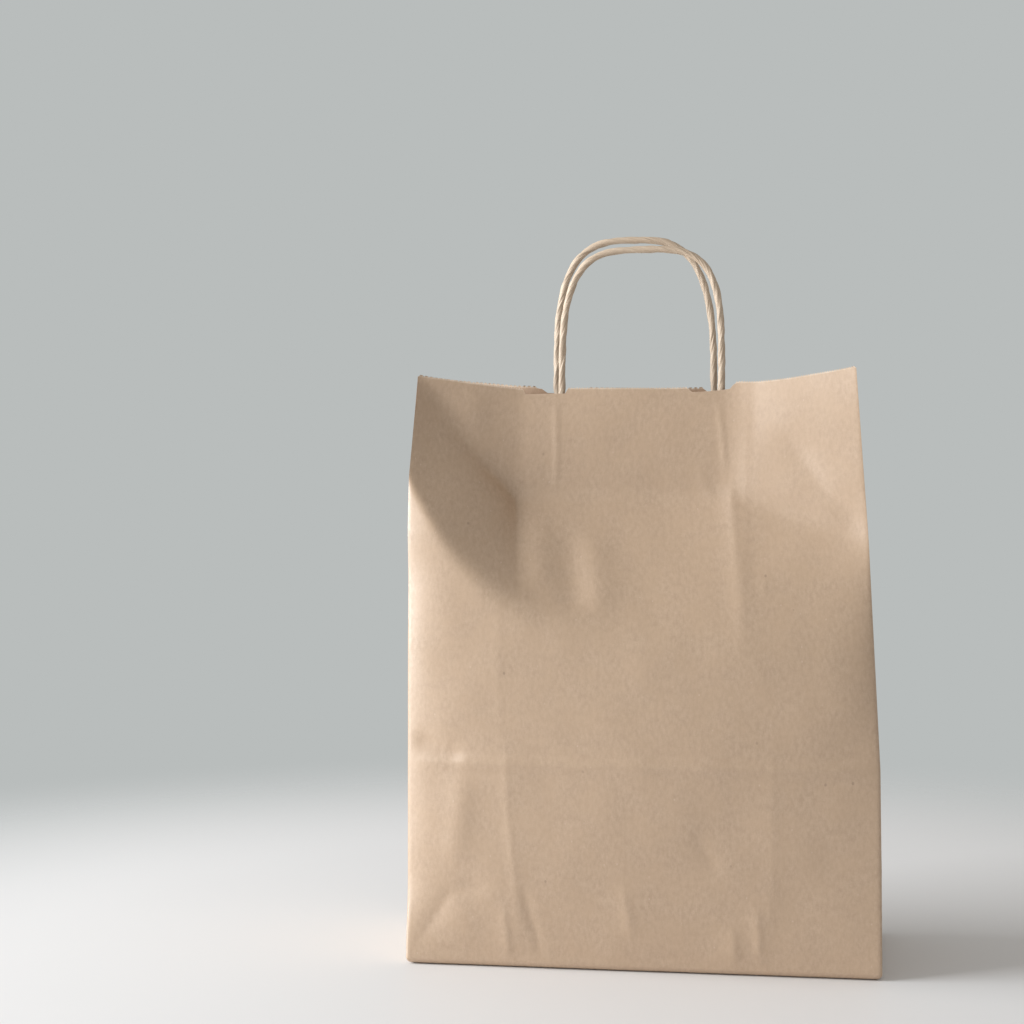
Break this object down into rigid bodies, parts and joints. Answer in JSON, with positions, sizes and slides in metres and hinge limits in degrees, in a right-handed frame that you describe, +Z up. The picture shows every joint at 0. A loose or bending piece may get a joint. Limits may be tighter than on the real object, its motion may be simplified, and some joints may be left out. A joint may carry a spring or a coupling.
{
  "type": "paper bag",
  "caption": "Block-bottom kraft paper carrier bag with pleated gussets, a drawn-in mouth and twisted paper handles, standing open.",
  "frame": {"origin": "middle of the bag's footprint, on the surface that it stands on", "axes": "+Z up, the front panel faces -Y, +X runs to the right along the front panel"},
  "size_m": [0.2404, 0.1148, 0.3738],
  "materials": {
    "kraft_sheet": "matt brown kraft paper with a faint machine glaze",
    "twisted_paper": "matt pale kraft paper, rolled and twisted into a cord",
    "kraft_strip": "matt brown kraft paper"
  },
  "bodies": {
    "root": {"bag_body": "kraft_sheet", "front_handle": "twisted_paper", "rear_handle": "twisted_paper", "front_handle_patch": "kraft_strip", "rear_handle_patch": "kraft_strip", "front_patch_backing": "kraft_strip", "rear_patch_backing": "kraft_strip"}
  },
  "joints": []
}
